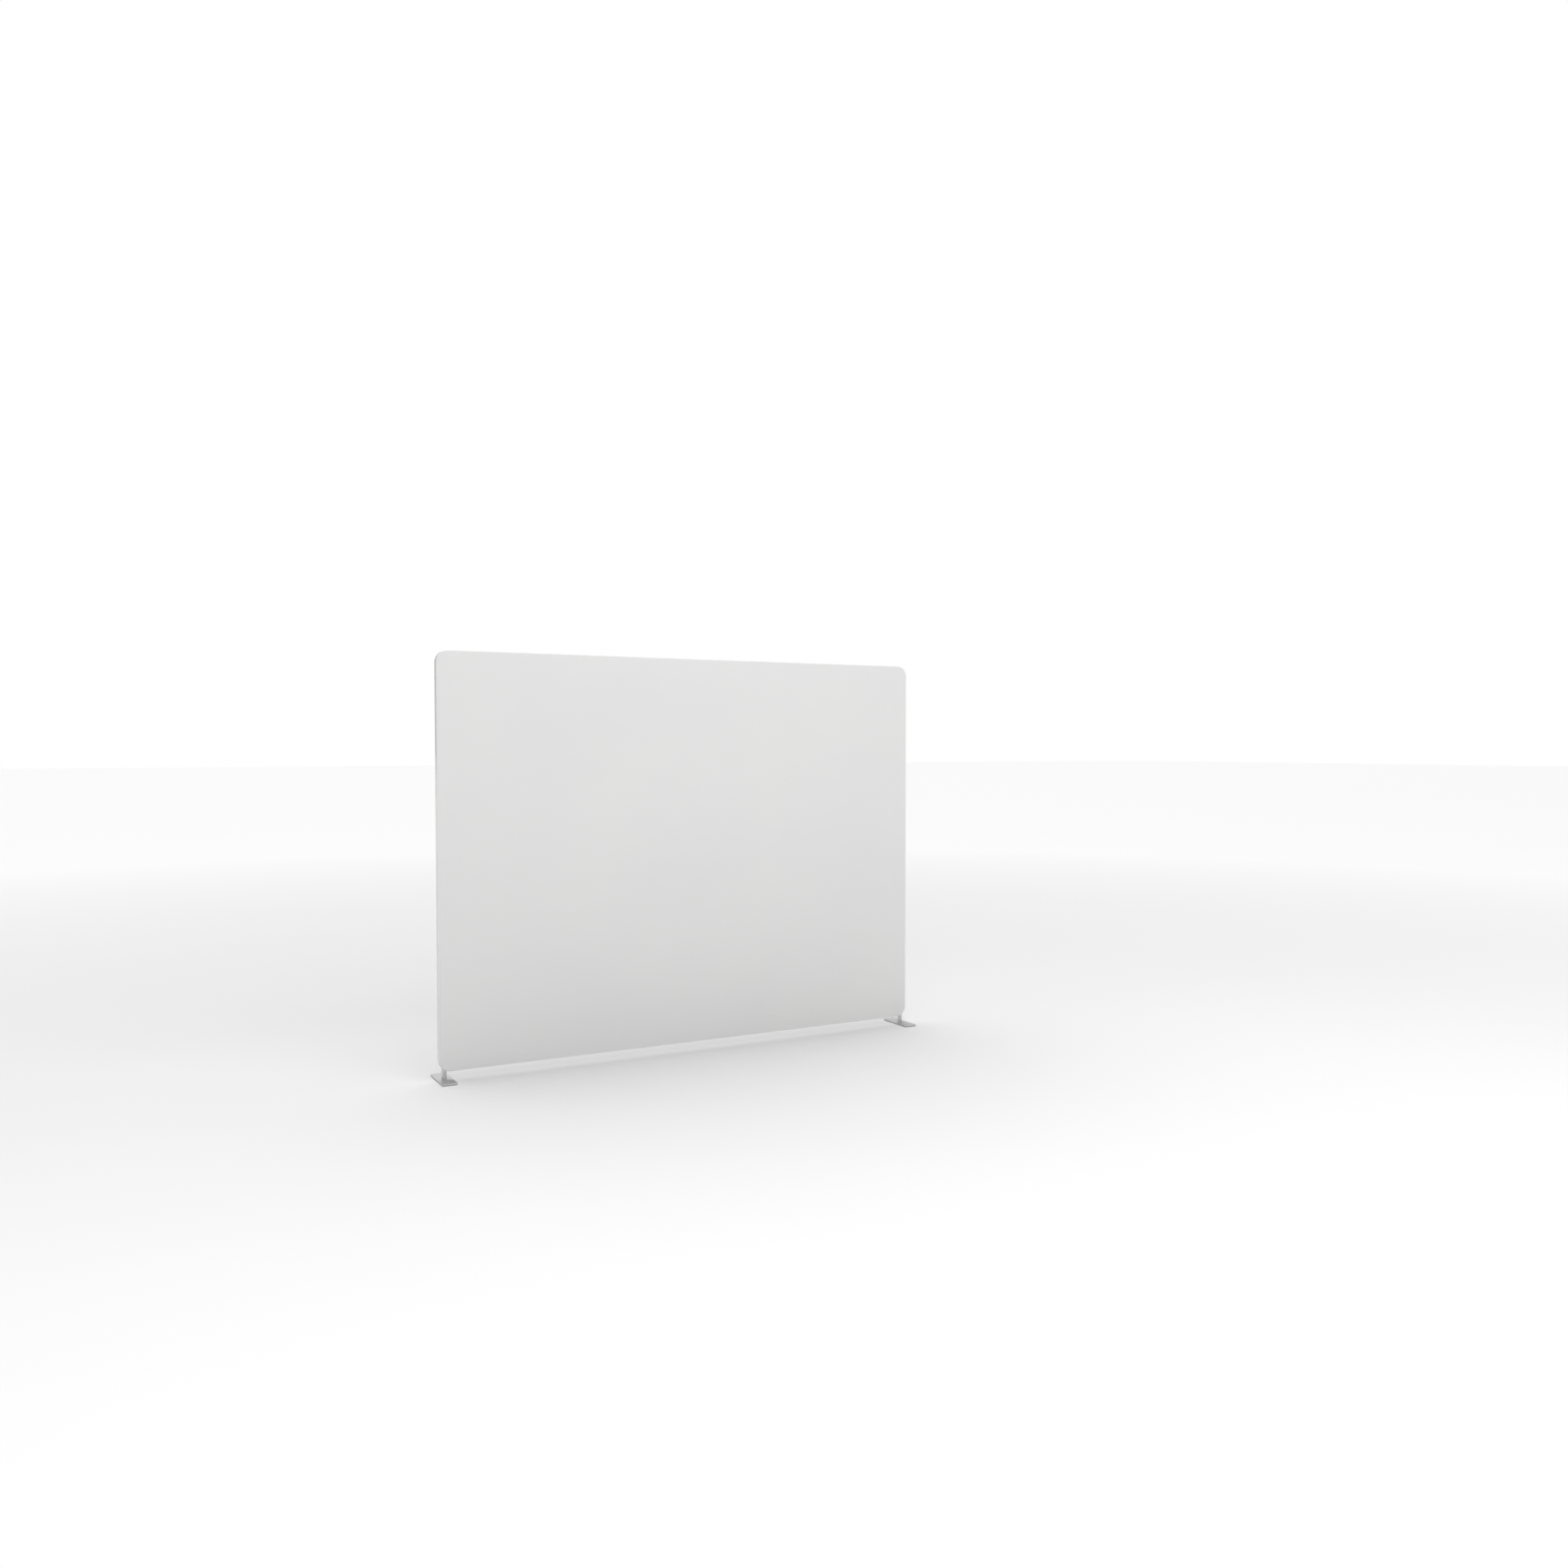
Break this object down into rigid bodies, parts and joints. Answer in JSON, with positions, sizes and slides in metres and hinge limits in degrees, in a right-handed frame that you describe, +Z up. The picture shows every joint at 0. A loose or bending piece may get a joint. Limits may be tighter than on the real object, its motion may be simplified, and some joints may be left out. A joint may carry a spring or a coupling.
{
  "type": "desk privacy panel",
  "caption": "Free-standing rounded opaque sheet on two short posts with flat swivelling foot plates, used to screen a desk.",
  "frame": {"origin": "on the desk, under the middle of the sheet's width and thickness", "axes": "+X along the sheet to the right as seen from the front, +Y to the back across the sheet, +Z up"},
  "size_m": [0.806, 0.068, 0.613],
  "materials": {
    "white_acrylic": "opaque white cast acrylic, smooth satin gloss, polished edges",
    "insert_brass": "turned and knurled",
    "fastener_steel": "plain stainless steel",
    "post_steel": "turned stainless steel, fine lathe lines",
    "white_nylon": "natural nylon",
    "foot_steel": "brushed along its length, satin",
    "pad_rubber": "thin die-cut sheet, matt"
  },
  "bodies": {
    "panel": {"sheet": "white_acrylic", "left_insert": "insert_brass", "right_insert": "insert_brass", "left_stud": "fastener_steel", "right_stud": "fastener_steel", "left_saddle_washer": "post_steel", "right_saddle_washer": "post_steel", "left_post": "post_steel", "right_post": "post_steel", "left_swivel_washer": "white_nylon", "right_swivel_washer": "white_nylon", "left_foot_screw": "fastener_steel", "right_foot_screw": "fastener_steel"},
    "left_foot": {"left_foot_plate": "foot_steel", "left_grip_pad": "pad_rubber"},
    "right_foot": {"right_foot_plate": "foot_steel", "right_grip_pad": "pad_rubber"}
  },
  "joints": [
    {"name": "left_foot_swivel", "type": "hinge", "parent": "panel", "child": "left_foot", "pos_m": [-0.392, 0, 0], "axis": [0, 0, 1], "continuous": true},
    {"name": "right_foot_swivel", "type": "hinge", "parent": "panel", "child": "right_foot", "pos_m": [0.392, 0, 0], "axis": [0, 0, 1], "continuous": true}
  ]
}
